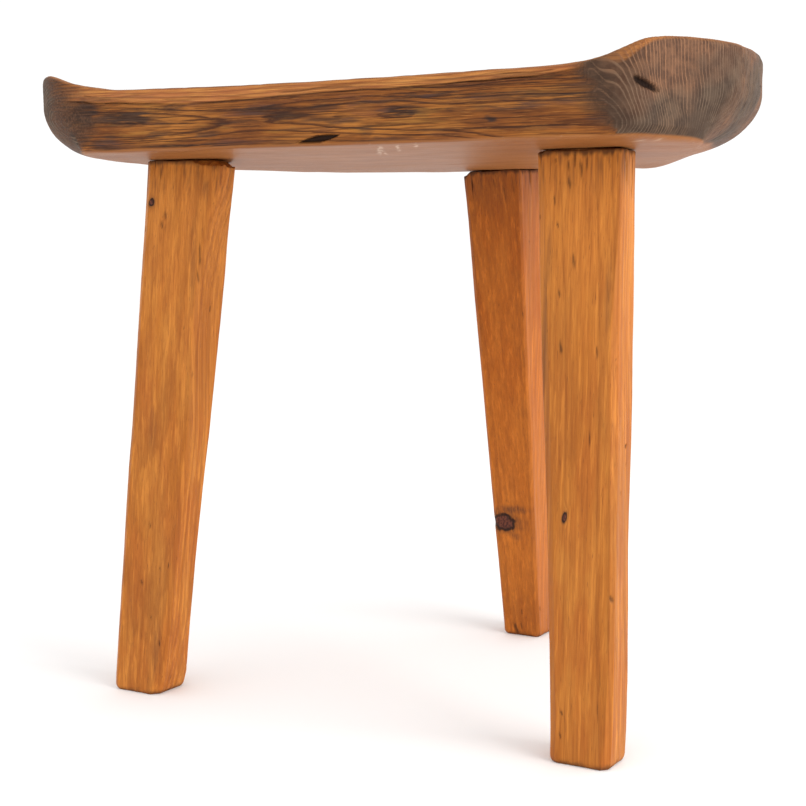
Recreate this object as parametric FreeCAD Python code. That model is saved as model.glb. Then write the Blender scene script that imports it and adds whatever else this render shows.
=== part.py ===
import FreeCAD, Part
import math
import os

os.makedirs("parts", exist_ok=True)

V = FreeCAD.Vector

# ---------------------------------------------------------------- frame
# Millimetres. +Z up, floor at z = 0. +X runs along the long straight front
# edge of the seat, +Y runs from that straight edge towards the rounded back.
# Origin: middle of the outside box, on the floor.

# ---------------------------------------------------------------- seat
SEAT_HALF_LENGTH = 197.5      # half of the length over the two raised ends
SEAT_FRONT_Y = -139.4         # straight sawn front face
SEAT_WIDEST_Y = -81.0         # where the half-moon back starts
SEAT_BACK_Y = 115.0           # middle of the rounded back
CORNER_RADIUS = 35.0          # front corners in plan
SEAT_LEVEL_Z = 333.8          # top edge along the middle of the front
LIP_RISE = 11.6               # how far the two carved ends stand above that
LIP_START_X = 122.0           # where the top starts to climb
LIP_FULL_X = 184.0            # where it is at full height
BACK_RISE = 5.0               # gentle rise of the carved top along the back
DISH_DEPTH = 5.0              # hollow in the middle of the seat
UNDERSIDE_Z = 297.6           # lowest line of the gently bellied underside
UNDERSIDE_BELLY_Y = -16.4     # where that lowest line runs
UNDERSIDE_CURVE = 3900.0      # rise = (distance from that line)^2 / this
HULL_RISE = 32.0              # height of the rounding under ends and back
HULL_REACH = 57.0             # how far it reaches in from the edge
TOP_ARRIS_RADIUS = 4.0        # eased top edge
PLANK_TOP_Z = 360.0           # rough height before the top is carved

# ---------------------------------------------------------------- legs
# Each leg: foot centre, shoulder centre (at SHOULDER_Z), the widths (x) and
# depths (y) of its rectangular section at the foot and at the shoulder.
SHOULDER_Z = 300.0
LEGS = {
    "leg_front_left": dict(foot=(-134.3, -105.7), top=(-117.1, -83.0),
                           foot_size=(28.0, 31.4), top_size=(45.7, 32.0)),
    "leg_front_right": dict(foot=(133.6, -97.5), top=(122.5, -86.2),
                            foot_size=(28.9, 30.5), top_size=(43.7, 30.5)),
    "leg_rear": dict(foot=(0.7, 124.6), top=(0.0, 71.2),
                     foot_size=(24.9, 31.0), top_size=(37.9, 32.0)),
}
FRONT_CHAMFER_FOOT = 2.0
FRONT_CHAMFER_TOP = 3.5
BACK_CHAMFER_FOOT = 4.0
BACK_CHAMFER_TOP = 9.0
FOOT_WEAR_HEIGHT = 4.0        # worn arris round the foot
FOOT_WEAR = 1.2

# ---------------------------------------------------------------- joints
TENON_RADIUS = 12.5           # round tenon in a round bored hole
WEDGE_DEPTH = 30.0            # wedge driven in from the top of the tenon
WEDGE_THICK_TOP = 5.0
WEDGE_THICK_TIP = 1.0
WEDGES = {
    "leg_front_left": "wedge_front_left",
    "leg_front_right": "wedge_front_right",
    "leg_rear": "wedge_rear",
}


def ease(t):
    t = max(0.0, min(1.0, t))
    return t * t * (3.0 - 2.0 * t)


def top_z(x, y):
    # Saddle top: low and level in the middle, climbing to the two ends and a
    # little towards the back, with a shallow hollow where one sits.
    lip = LIP_RISE * ease((abs(x) - LIP_START_X) / (LIP_FULL_X - LIP_START_X))
    back = BACK_RISE * ease((y - 30.0) / (SEAT_BACK_Y - 30.0))
    r2 = (x / 130.0) ** 2 + ((y + 14.0) / 98.0) ** 2
    dish = DISH_DEPTH * math.exp(-1.6 * r2)
    return SEAT_LEVEL_Z + max(lip, 0.0) + back * (1.0 - lip / LIP_RISE) - dish


def under_z(x, y):
    return UNDERSIDE_Z + (y - UNDERSIDE_BELLY_Y) ** 2 / UNDERSIDE_CURVE


def surface_cutter(fn, upward):
    nx, ny = 41, 27
    rows = []
    for i in range(nx):
        x = -240.0 + 480.0 * i / (nx - 1)
        rows.append([V(x, -180.0 + 330.0 * j / (ny - 1),
                       fn(x, -180.0 + 330.0 * j / (ny - 1))) for j in range(ny)])
    surface = Part.BSplineSurface()
    surface.interpolate(rows)
    return surface.toShape().extrude(V(0, 0, 90.0 if upward else -90.0))


def plan_wire(inset, z):
    # Half-moon outline moved inwards by `inset` at the ends and the back.
    # The straight front stays where it is sawn.
    a = SEAT_HALF_LENGTH - inset
    b = SEAT_BACK_Y - SEAT_WIDEST_Y - inset
    r = CORNER_RADIUS
    yf, yw = SEAT_FRONT_Y, SEAT_WIDEST_Y
    front = Part.LineSegment(V(-(a - r), yf, z), V(a - r, yf, z)).toShape()
    c = math.sqrt(0.5)
    right = Part.Arc(V(a - r, yf, z),
                     V(a - r + r * c, yf + r - r * c, z),
                     V(a, yf + r, z)).toShape()
    side_r = Part.LineSegment(V(a, yf + r, z), V(a, yw, z)).toShape()
    e = Part.Ellipse(V(0, yw, z), a, b) if a >= b else None
    back = Part.ArcOfEllipse(e, 0.0, math.pi).toShape()
    side_l = Part.LineSegment(V(-a, yw, z), V(-a, yf + r, z)).toShape()
    left = Part.Arc(V(-a, yf + r, z),
                    V(-(a - r + r * c), yf + r - r * c, z),
                    V(-(a - r), yf, z)).toShape()
    return Part.Wire([front, right, side_r, back, side_l, left])


def hull_blank():
    # Stacked outlines: the ends and the back curve up from the underside like
    # a hull, the front face stays plumb.
    z0 = UNDERSIDE_Z - 1.0
    wires = []
    for deg in (0.0, 14.0, 28.0, 42.0, 56.0, 70.0, 90.0):
        a = math.radians(deg)
        inset = HULL_REACH * (1.0 - math.sin(a))
        wires.append(plan_wire(inset, z0 + HULL_RISE * (1.0 - math.cos(a))))
    lower = Part.makeLoft(wires, True, False)
    outline = Part.Face(plan_wire(0.0, z0 + HULL_RISE))
    upper = outline.extrude(V(0, 0, PLANK_TOP_Z - z0 - HULL_RISE))
    return lower.fuse(upper).removeSplitter()


def section(cx, cy, w, d, front, back, z):
    x0, x1, y0, y1 = cx - w / 2, cx + w / 2, cy - d / 2, cy + d / 2
    pts = [V(x0 + front, y0, z), V(x1 - front, y0, z), V(x1, y0 + front, z),
           V(x1, y1 - back, z), V(x1 - back, y1, z), V(x0 + back, y1, z),
           V(x0, y1 - back, z), V(x0, y0 + front, z)]
    return Part.makePolygon(pts + [pts[0]])


def at_height(leg, z):
    t = z / SHOULDER_Z
    mix = lambda p, q: p + (q - p) * t
    return (mix(leg["foot"][0], leg["top"][0]), mix(leg["foot"][1], leg["top"][1]),
            mix(leg["foot_size"][0], leg["top_size"][0]),
            mix(leg["foot_size"][1], leg["top_size"][1]),
            mix(FRONT_CHAMFER_FOOT, FRONT_CHAMFER_TOP),
            mix(BACK_CHAMFER_FOOT, BACK_CHAMFER_TOP))


def leg_blank(leg):
    top = SHOULDER_Z + 22.0
    cx, cy, w, d, f, b = at_height(leg, 0.0)
    foot = section(cx, cy, w - 2 * FOOT_WEAR, d - 2 * FOOT_WEAR, f, b, 0.0)
    cx, cy, w, d, f, b = at_height(leg, FOOT_WEAR_HEIGHT)
    low = section(cx, cy, w, d, f, b, FOOT_WEAR_HEIGHT)
    cx, cy, w, d, f, b = at_height(leg, top)
    high = section(cx, cy, w, d, f, b, top)
    return Part.makeLoft([foot, low], True, True).fuse(
        Part.makeLoft([low, high], True, True)).removeSplitter()


def leg_axis(leg):
    foot = V(leg["foot"][0], leg["foot"][1], 0.0)
    top = V(leg["top"][0], leg["top"][1], SHOULDER_Z)
    direction = (top - foot).normalize()
    return top, direction


def tenon_bar(leg, start, end):
    top, direction = leg_axis(leg)
    return Part.makeCylinder(TENON_RADIUS, end - start,
                             top + direction * start, direction)


def wedge_bar(leg, crown):
    # Thin wedge along the tenon: its wide way is front to back, across the
    # grain of the seat, so that it spreads the tenon along the grain.
    top, direction = leg_axis(leg)
    head = crown + direction * 6.0
    slope = (WEDGE_THICK_TOP - WEDGE_THICK_TIP) / WEDGE_DEPTH
    half_head = (WEDGE_THICK_TOP + slope * 6.0) / 2.0
    half_tip = WEDGE_THICK_TIP / 2.0
    tip = crown - direction * WEDGE_DEPTH
    wide = V(0, 1, 0) - direction * direction.y
    wide.normalize()
    thin = wide.cross(direction).normalize()
    pts = [head + thin * half_head, head - thin * half_head,
           tip - thin * half_tip, tip + thin * half_tip]
    pts = [p - wide * 20.0 for p in pts]
    face = Part.Face(Part.makePolygon(pts + [pts[0]]))
    return face.extrude(wide * 40.0)


top_cutter = surface_cutter(top_z, True)
under_cutter = surface_cutter(under_z, False)

carved = hull_blank().cut(top_cutter).cut(under_cutter)
carved = carved.Solids[0]

# Ease the top arris all round.
rim = []
for edge in carved.Edges:
    mid = edge.valueAt((edge.FirstParameter + edge.LastParameter) / 2.0)
    if abs(mid.z - top_z(mid.x, mid.y)) < 0.6 and edge.Length > 5.0:
        rim.append(edge)
try:
    eased = carved.makeFillet(TOP_ARRIS_RADIUS, rim)
    if eased.isValid() and eased.Solids:
        carved = eased.Solids[0]
except Exception as error:
    print("top edge left sharp:", error)

seat = carved
for name, leg in LEGS.items():
    bar = tenon_bar(leg, -30.0, 90.0)
    seat = seat.cut(bar)

    body = leg_blank(leg).cut(carved)
    tenon = tenon_bar(leg, -25.0, 60.0).cut(top_cutter)
    whole = body.fuse(tenon).removeSplitter()

    top, direction = leg_axis(leg)
    reach = (top_z(top.x, top.y) - SHOULDER_Z) / direction.z
    crown = top + direction * reach
    wedge = wedge_bar(leg, crown).common(tenon_bar(leg, -25.0, 60.0)).cut(top_cutter)
    whole = whole.cut(wedge)

    for node, shape in ((name, whole), (WEDGES[name], wedge)):
        solids = shape.Solids
        solids.sort(key=lambda s: -s.Volume)
        print(node, len(solids), round(solids[0].Volume), shape.isValid())
        solids[0].exportStep("parts/%s.step" % node)

seat = seat.Solids[0]
print("seat", len(seat.Solids), round(seat.Volume), seat.isValid(), seat.BoundBox)
seat.exportStep("parts/seat.step")
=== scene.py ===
import math

import bpy
import numpy as np
from mathutils import Matrix, Vector


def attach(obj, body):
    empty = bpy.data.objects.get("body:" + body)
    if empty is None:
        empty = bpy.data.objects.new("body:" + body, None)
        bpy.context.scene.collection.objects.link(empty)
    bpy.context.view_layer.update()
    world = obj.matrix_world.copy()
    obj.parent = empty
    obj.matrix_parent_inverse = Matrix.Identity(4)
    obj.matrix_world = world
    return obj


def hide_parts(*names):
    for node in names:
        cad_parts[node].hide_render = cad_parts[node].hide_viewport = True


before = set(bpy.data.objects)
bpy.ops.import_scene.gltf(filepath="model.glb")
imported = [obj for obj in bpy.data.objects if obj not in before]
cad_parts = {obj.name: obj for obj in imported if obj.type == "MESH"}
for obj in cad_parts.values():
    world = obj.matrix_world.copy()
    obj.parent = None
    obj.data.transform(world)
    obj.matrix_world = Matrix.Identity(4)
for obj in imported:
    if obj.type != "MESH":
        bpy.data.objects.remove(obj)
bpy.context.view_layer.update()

scene = bpy.context.scene

# Everything below is worked out in millimetres in the row frame: +X along the
# straight front edge, +Y to the rounded back, +Z up, floor at z = 0.
MM = 0.001

# ------------------------------------------------------------------ noise


def _hash(ix, iy, iz, seed):
    m = np.uint64(0xFFFFFFFF)
    h = (ix.astype(np.int64).astype(np.uint64) & m) * np.uint64(0x8DA6B343) & m
    h ^= (iy.astype(np.int64).astype(np.uint64) & m) * np.uint64(0xD8163841) & m
    h ^= (iz.astype(np.int64).astype(np.uint64) & m) * np.uint64(0xCB1AB31F) & m
    h ^= np.uint64((seed * 0x9E3779B1) & 0xFFFFFFFF)
    h ^= h >> np.uint64(15)
    h = h * np.uint64(0x2C1B3C6D) & m
    h ^= h >> np.uint64(12)
    h = h * np.uint64(0x297A2D39) & m
    h ^= h >> np.uint64(15)
    return h


def _grad(h, x, y, z):
    h = h & np.uint64(15)
    u = np.where(h < 8, x, y)
    v = np.where(h < 4, y, np.where((h == 12) | (h == 14), x, z))
    return np.where(h & np.uint64(1), -u, u) + np.where(h & np.uint64(2), -v, v)


def perlin(x, y, z, seed=0):
    x, y, z = np.broadcast_arrays(np.asarray(x, float), np.asarray(y, float), np.asarray(z, float))
    fx, fy, fz = np.floor(x), np.floor(y), np.floor(z)
    dx, dy, dz = x - fx, y - fy, z - fz
    sx, sy, sz = (t * t * t * (t * (t * 6 - 15) + 10) for t in (dx, dy, dz))
    out = 0.0
    for i in (0, 1):
        wx = sx if i else 1 - sx
        for j in (0, 1):
            wy = sy if j else 1 - sy
            for k in (0, 1):
                wz = sz if k else 1 - sz
                g = _grad(_hash(fx + i, fy + j, fz + k, seed), dx - i, dy - j, dz - k)
                out = out + wx * wy * wz * g
    return out


def fbm(x, y, z, seed=0, octaves=3, gain=0.5):
    out, amp, f = 0.0, 1.0, 1.0
    for o in range(octaves):
        out = out + amp * perlin(x * f, y * f, z * f, seed + 17 * o)
        amp *= gain
        f *= 2.03
    return out


def smooth(t, a, b):
    t = np.clip((np.asarray(t, float) - a) / (b - a), 0.0, 1.0)
    return t * t * (3 - 2 * t)


def ring_profile(r):
    # One year's growth: the light wood swells slowly into the dark, hard
    # line, which stops short.
    f = r - np.floor(r)
    return smooth(f, 0.25, 0.82) * (1 - smooth(f, 0.90, 1.0))


# ------------------------------------------------------------------ mesh help


def grid_mesh(name, rings, cap_start, cap_end):
    """Closed skin over a stack of closed rings; a cap is a single middle point."""
    count, n = len(rings), len(rings[0])
    verts = np.concatenate([np.asarray(r, float) for r in rings] +
                           [np.asarray([cap_start], float), np.asarray([cap_end], float)])
    j = np.arange(n)
    jn = (j + 1) % n
    quads = []
    for i in range(count - 1):
        quads.append(np.stack([i * n + j, i * n + jn, (i + 1) * n + jn, (i + 1) * n + j], 1))
    quads = np.concatenate(quads)
    s, e = count * n, count * n + 1
    first = np.stack([np.full(n, s), jn, j], 1)
    last = np.stack([np.full(n, e), (count - 1) * n + j, (count - 1) * n + jn], 1)
    return mesh_from(name, verts, [quads, first, last])


def mesh_from(name, verts, groups):
    mesh = bpy.data.meshes.new(name)
    loops = np.concatenate([g.reshape(-1) for g in groups]).astype(np.int32)
    totals = np.concatenate([np.full(len(g), g.shape[1]) for g in groups]).astype(np.int32)
    starts = np.concatenate([[0], np.cumsum(totals)[:-1]]).astype(np.int32)
    mesh.vertices.add(len(verts))
    mesh.vertices.foreach_set("co", (verts * MM).astype(np.float32).reshape(-1))
    mesh.loops.add(len(loops))
    mesh.loops.foreach_set("vertex_index", loops)
    mesh.polygons.add(len(totals))
    mesh.polygons.foreach_set("loop_start", starts)
    mesh.polygons.foreach_set("loop_total", totals)
    mesh.update(calc_edges=True)
    mesh.validate()
    obj = bpy.data.objects.new(name, mesh)
    scene.collection.objects.link(obj)
    return obj


def coords(obj):
    co = np.zeros(len(obj.data.vertices) * 3, np.float32)
    obj.data.vertices.foreach_get("co", co)
    return co.reshape(-1, 3).astype(float) / MM


def normals(obj):
    no = np.zeros(len(obj.data.vertices) * 3, np.float32)
    obj.data.vertices.foreach_get("normal", no)
    return no.reshape(-1, 3).astype(float)


def set_coords(obj, p):
    obj.data.vertices.foreach_set("co", (p * MM).astype(np.float32).reshape(-1))
    obj.data.update()


def set_field(obj, name, values):
    a = obj.data.attributes.get(name) or obj.data.attributes.new(name, "FLOAT", "POINT")
    a.data.foreach_set("value", np.asarray(values, np.float32))


def cut(obj, cutters):
    """Real holes: takes the cutters away from obj and drops them."""
    for c in cutters:
        mod = obj.modifiers.new("cut", "BOOLEAN")
        mod.operation = "DIFFERENCE"
        mod.object = c
        mod.solver = "MANIFOLD"
    dg = bpy.context.evaluated_depsgraph_get()
    before = len(obj.data.polygons)
    result = bpy.data.meshes.new_from_object(obj.evaluated_get(dg))
    if len(result.polygons) < before * 0.5:
        for mod in obj.modifiers:
            mod.solver = "EXACT"
        dg = bpy.context.evaluated_depsgraph_get()
        result = bpy.data.meshes.new_from_object(obj.evaluated_get(dg))
    obj.modifiers.clear()
    old, obj.data = obj.data, result
    bpy.data.meshes.remove(old)
    for c in cutters:
        mesh = c.data
        bpy.data.objects.remove(c)
        bpy.data.meshes.remove(mesh)


def finish_shading(obj, degrees=42.0):
    obj.data.shade_smooth()
    obj.data.set_sharp_from_angle(angle=math.radians(degrees))


# ------------------------------------------------------------------ seat form

SEAT_YF, SEAT_YW, SEAT_YB = -139.4, -81.0, 114.9
LEFT_A, LEFT_R = 205.7, 50.0
RIGHT_A, RIGHT_X0, RIGHT_R, RIGHT_TURN = 197.8, 155.0, 20.0, 57.0
TOP_X = np.array([-230, -206, -197, -188, -179, -171, -163, -155, -145, -131, -118, -100, -60, 0,
                  60, 100, 118, 131, 145, 155, 163, 171, 179, 188, 198, 230.0])
TOP_Z = np.array([345.3, 346.1, 345.6, 347.4, 345.3, 342.9, 340.2, 338.5, 337.0, 335.0, 334.7, 334.5, 334.0, 333.4,
                  334.1, 334.3, 334.6, 334.9, 336.1, 338.9, 341.9, 346.4, 346.4, 346.4, 345.9, 346.3])
END_Y = np.array([-140, -105, -81, -60, -40, -20, 10, 60, 120.0])
END_Z = np.array([0.6, 0.2, -0.3, 1.0, 1.8, 2.2, 2.0, 2.0, 2.0])
CRACK_X = np.array([-230, -166, -155, -124, -78, -46, -22, 22, 58, 87, 120, 137, 149, 162, 172, 230.0])
CRACK_Z = np.array([333.0, 330.6, 329.0, 327.0, 325.2, 325.6, 326.8, 327.6, 328.3, 328.7, 330.2, 331.8, 334.2, 341.0, 350.0, 350.0])
LIP_FALL = 3.2
# how far the hollow under the edge reaches in, by the way the edge faces:
# 0 the front, 90 the right end, 180 the back, -90 the left end
REACH_A = np.array([-180, -140, -110, -90, -60, -30, 0, 30, 60, 90, 110, 140, 180.0])
REACH_V = np.array([36.6, 39.3, 66.6, 48.3, 39.2, 28.7, 30.0, 30.0, 36.0, 47.3, 55.4, 47.3, 44.1])
FACE_LEFT, FACE_RIGHT = (-191.0, -149.0), (-120.0, -62.0)
# low and high places left by the adze: x, y, height, half lengths
HEWN = [(112, 28, -2.7, 18, 20), (158, 1, 1.1, 15, 20), (-45, 70, -0.8, 50, 26), (-160, -88, 0.6, 30, 40)]


def soft_interp(x, xs, ys, width=7.0):
    return sum(np.interp(x + o * width, xs, ys) * w
               for o, w in ((-1.5, 0.12), (-0.75, 0.23), (0, 0.3), (0.75, 0.23), (1.5, 0.12)))


def top_z(x, y):
    front = soft_interp(x, TOP_X, TOP_Z, 4.0)
    lip = np.clip((front - 333.8) / 11.5, 0, 1)
    back = 5.0 * smooth(y, 30.0, 115.0)
    r2 = (x / 130.0) ** 2 + ((y + 14.0) / 98.0) ** 2
    dish = 5.0 * np.exp(-1.6 * r2) * smooth(y, -139.0, -105.0)
    end = soft_interp(y, END_Y, END_Z, 8.0) * smooth(x, 150.0, 190.0)
    fall = LIP_FALL * smooth(-x, 112.0, 150.0) * smooth(y, -138.0, -108.0)
    return front + back * (1 - lip) - dish + end - fall


def under_z(x, y):
    z = 298.2 + (y + 16.4) ** 2 / 4500.0
    for cx, cy, h, lx, ly in HEWN:
        z = z + h * np.exp(-((x - cx) / lx) ** 2 - ((y - cy) / ly) ** 2)
    return z


def crack_z(x):
    return soft_interp(x, CRACK_X, CRACK_Z, 6.0) + 0.22 * np.sin(x / 11.0) + 0.15 * np.sin(x / 4.1 + 1.0)


LEG = {
    "leg_front_left": dict(foot=(-134.3, -105.7), top=(-117.1, -83.0)),
    "leg_front_right": dict(foot=(133.6, -97.5), top=(122.5, -86.2)),
    "leg_rear": dict(foot=(0.7, 124.6), top=(0.0, 71.2)),
}
HOLE_R, TENON_R = 12.5, 12.36


def leg_line(name):
    f, t = LEG[name]["foot"], LEG[name]["top"]
    p = np.array([t[0], t[1], 300.0])
    d = p - np.array([f[0], f[1], 0.0])
    return p, d / np.linalg.norm(d)


def frame_of(d):
    wide = np.array([0, 1.0, 0]) - d * d[1]
    wide /= np.linalg.norm(wide)
    return np.cross(wide, d), wide


def tube(name, p, d, radius, lo, hi, n=96):
    thin, wide = frame_of(d)
    t = np.linspace(0, 2 * np.pi, n, endpoint=False)
    rings = [p + d * s + radius * (np.cos(t)[:, None] * thin + np.sin(t)[:, None] * wide)
             for s in np.linspace(lo, hi, 4)]
    # thin x wide points down the axis, so the order is turned to face outwards
    if np.dot(np.cross(thin, wide), d) < 0:
        rings = [r[::-1] for r in rings]
    return grid_mesh(name, rings, p + d * lo, p + d * hi)


def seat_outline():
    pts = []

    def add(x, y):
        pts.append(np.c_[x, y])

    yf, yw, yb = SEAT_YF, SEAT_YW, SEAT_YB
    x0 = -(LEFT_A - LEFT_R)
    t = np.linspace(x0, RIGHT_X0, 431)[:-1]
    add(t, np.full_like(t, yf))
    # right corner: a tight turn, then a long slack curve out to the widest place
    turn = math.radians(RIGHT_TURN)
    t = np.linspace(0, turn, 37)[:-1]
    add(RIGHT_X0 + RIGHT_R * np.sin(t), yf + RIGHT_R * (1 - np.cos(t)))
    p0 = np.array([RIGHT_X0 + RIGHT_R * math.sin(turn), yf + RIGHT_R * (1 - math.cos(turn))])
    p3 = np.array([RIGHT_A, yw])
    l = 0.42 * np.linalg.norm(p3 - p0)
    p1, p2 = p0 + l * np.array([math.cos(turn), math.sin(turn)]), p3 - l * np.array([0.0, 1.0])
    t = np.linspace(0, 1, 71)[:-1][:, None]
    b = (1 - t) ** 3 * p0 + 3 * (1 - t) ** 2 * t * p1 + 3 * (1 - t) * t ** 2 * p2 + t ** 3 * p3
    add(b[:, 0], b[:, 1])
    t = np.linspace(0, np.pi / 2, 211)[:-1]
    add(RIGHT_A * np.cos(t), yw + (yb - yw) * np.sin(t))
    t = np.linspace(np.pi / 2, np.pi, 211)[:-1]
    add(LEFT_A * np.cos(t), yw + (yb - yw) * np.sin(t))
    t = np.linspace(yw, yf + LEFT_R, 9)[:-1]
    add(np.full_like(t, -LEFT_A), t)
    t = np.linspace(np.pi, 1.5 * np.pi, 91)[:-1]
    add(x0 + LEFT_R * np.cos(t), yf + LEFT_R + LEFT_R * np.sin(t))
    p = np.concatenate(pts)
    d = np.roll(p, -1, 0) - np.roll(p, 1, 0)
    d /= np.linalg.norm(d, axis=1)[:, None]
    n = np.c_[d[:, 1], -d[:, 0]]
    for _ in range(6):
        n = 0.5 * n + 0.25 * (np.roll(n, 1, 0) + np.roll(n, -1, 0))
    n /= np.linalg.norm(n, axis=1)[:, None]
    return p, n


def seat_rings_3d():
    O, N = seat_outline()
    x, y = O[:, 0], O[:, 1]
    facing = np.degrees(np.arctan2(N[:, 0], -N[:, 1]))
    # 1 where the edge is a sawn upright face, 0 where it is hollowed like a hull
    wf = np.where(y < -60, smooth(x, *FACE_LEFT), 0.0) * np.where(x > 0, 1 - smooth(y, *FACE_RIGHT), 1.0)
    reach = soft_interp(facing, REACH_A, REACH_V, 9.0)
    C = np.c_[0.35 * x, -25 + 0.2 * (y + 25)]
    D = C - O
    D /= np.linalg.norm(D, axis=1)[:, None]
    zs = 329.0
    rings = []

    def place(ins_hull, ins_front, ins_norm=0.0):
        h = (1 - wf) * ins_hull
        return O + D * h[:, None] - N * (wf * ins_front + ins_norm)[:, None]

    arris = [(7.0, 0.0), (4.2, 0.0), (2.4, 0.1), (1.3, 0.42), (0.55, 1.0), (0.12, 1.8)]
    # crisp along the front, worn round towards both corners
    worn = 1.0 + 1.9 * np.maximum(smooth(x, 146.0, 172.0), smooth(-x, 136.0, 168.0))
    for m, (inset, up) in enumerate(arris):
        inset, up = inset * worn, up * worn
        a = math.radians(1.3 * m)
        P = place(reach * (1 - math.sin(a)), inset)
        zb = under_z(P[:, 0], P[:, 1])
        zh = zb + (zs - zb) * (1 - math.cos(a))
        rings.append(np.c_[P, wf * (zb + up) + (1 - wf) * zh])
    r_top = wf * 2.4 + (1 - wf) * (3.6 + 2.4 * smooth(y, -100.0, -20.0))
    edge_top = top_z(x, y)
    ns = 62
    for k in range(1, ns):
        u = k / (ns - 1)
        a = math.radians(8.0 + 82.0 * min(1.0, u / 0.68))
        zlow = under_z(x, y) + 1.8 * worn
        zfront = zlow + (edge_top - r_top - zlow) * u
        lean = np.maximum(zfront - crack_z(x), 0.0)
        chamfer = 0.40 * lean * smooth(lean, 0.0, 1.2)
        P = place(reach * (1 - math.sin(a)), chamfer)
        zb = under_z(P[:, 0], P[:, 1])
        if u <= 0.68:
            zh = zb + (zs - zb) * (1 - math.cos(a))
        else:
            zh = zs + (edge_top - r_top - zs) * (u - 0.68) / 0.32
        rings.append(np.c_[P, wf * zfront + (1 - wf) * zh])
    lean = np.maximum(edge_top - r_top - crack_z(x), 0.0)
    last = 0.40 * lean * smooth(lean, 0.0, 1.2)
    for b in np.radians(np.linspace(0, 90, 9)[1:]):
        P = place(0.0, last, r_top * (1 - math.cos(b)))
        z = edge_top - r_top + r_top * math.sin(b)
        blend = math.sin(b) ** 3
        z = z * (1 - blend) + (top_z(P[:, 0], P[:, 1]) - r_top + r_top * math.sin(b)) * blend
        rings.append(np.c_[P, z])
    return rings


def build_seat():
    rings = seat_rings_3d()
    centre = np.array([0.0, -20.0])
    inner = []
    base = rings[0][:, :2]
    for s in np.linspace(0.02, 1.0, 76)[:-1]:
        P = centre + (base - centre) * s
        inner.append(np.c_[P, under_z(P[:, 0], P[:, 1])])
    outer = []
    base = rings[-1][:, :2]
    for s in np.linspace(1.0, 0.015, 104)[1:]:
        P = centre + (base - centre) * s
        outer.append(np.c_[P, top_z(P[:, 0], P[:, 1])])
    stack = inner + rings + outer
    low_mid = (centre[0], centre[1], float(under_z(*centre)))
    top_mid = (centre[0], centre[1], float(top_z(np.array(centre[0]), np.array(centre[1]))))
    # The rings run anticlockwise seen from above and climb, so faces look out.
    seat = grid_mesh("seat_plank", stack, low_mid, top_mid)
    bores = []
    for i, name in enumerate(LEG):
        p, d = leg_line(name)
        bores.append(tube("bore_%d" % i, p, d, HOLE_R, -40.0, 80.0, 120))
    cut(seat, bores)
    return seat


def pith_line(x):
    z = 317.0 - 7.0 * smooth(x, -60.0, 160.0) + 1.4 * np.sin(x / 41.0 + 0.6)
    y = -138.0 + 3.0 * np.sin(x / 52.0 + 2.3) * smooth(np.abs(x - 10.0), 150.0, 100.0)
    w = smooth(x, 40.0, 80.0)
    return y * (1 - w) + (-141.4 + 2.6 * smooth(x, 146.0, 166.0)) * w, z


def corner_turn(x, z, pz):
    t = np.clip(x - 150.5 + 0.60 * np.clip(z - pz, 0.0, 32.0), 0.0, 34.0)
    return t * t / (t + 4.0)


def seat_rings(x, y, z):
    wx = x / 110.0
    dy = 2.6 * perlin(wx, y / 34.0, z / 26.0, 3) + 0.30 * perlin(x / 40.0, y / 7.0, z / 7.0, 5)
    dz = 2.2 * perlin(wx + 7, y / 40.0, z / 22.0, 4) + 0.30 * perlin(x / 34.0, y / 7.0, z / 7.0, 6)
    py, pz = pith_line(x)
    # the fibres swing outwards at the right end, so the corner cuts them steeply
    turn = corner_turn(x, z, pz)
    tall = 1.35 + 0.45 * smooth(x, 60.0, 120.0) + 2.4 * smooth(turn, 0.5, 8.0)
    out = 0.72 * np.minimum(turn, 9.0) + 0.42 * np.maximum(turn - 9.0, 0.0)
    r = np.hypot(y - py + dy + out, (z - pz + dz) / tall)
    return r / (1.5 - 0.20 * smooth(turn, 1.0, 6.0) + 0.15 * smooth(turn, 8.0, 16.0)) + 0.7 * perlin(r / 6.0, 0.5, 0.5, 9)


# Old dirt and blue stain on the front face: centre x, z, half length, half
# height, strength.
STAINS = [
    (-150, 322.1, 10, 9.5, 0.95), (-119, 318.9, 23, 4.2, 0.95), (-158, 309.0, 12, 4.5, 0.7), (-140, 330.0, 12, 1.5, 0.5), (-90, 323.5, 9, 1.6, 0.8),
    (-47, 314.1, 16, 1.8, 0.6), (-35, 320.1, 20, 2.6, 0.75), (-15, 316.6, 16, 2.3, 0.8),
    (-99, 310.4, 8, 1.6, 0.6), (-68, 310.0, 8, 2.0, 0.65), (-133, 306.3, 12, 4.5, 0.75),
    (1, 320.2, 14, 2.4, 0.6), (8, 313.6, 22, 2.0, 0.75), (36, 321.8, 19, 1.4, 0.65),
    (47, 316.8, 15, 2.6, 1.0), (62, 324.2, 22, 1.1, 0.85), (78, 316.3, 5, 1.2, 0.6),
    (107, 316.6, 24, 1.9, 0.75), (95, 311.4, 3.2, 1.3, 1.0), (107, 321.8, 34, 2.1, 0.62),
    (139, 321.4, 16, 6.2, 0.62), (28, 306.8, 4.5, 4.1, 0.6), (39, 303.8, 15, 1.3, 0.7),
    (150, 311.0, 10, 3.0, 0.5), (-95, 316.0, 10, 1.2, 0.4), (70, 307.5, 16, 1.0, 0.4),
    (120, 306.5, 18, 1.0, 0.4), (-60, 305.0, 30, 0.9, 0.4), (15, 329.6, 18, 0.7, 0.3),
]


# torn pocket in the end grain: middle, direction of its length
POCKET = np.array([168.6, -132.6, 324.9])
POCKET_ALONG = np.array([7.5, 8.9, -5.6]) / 12.9


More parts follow.
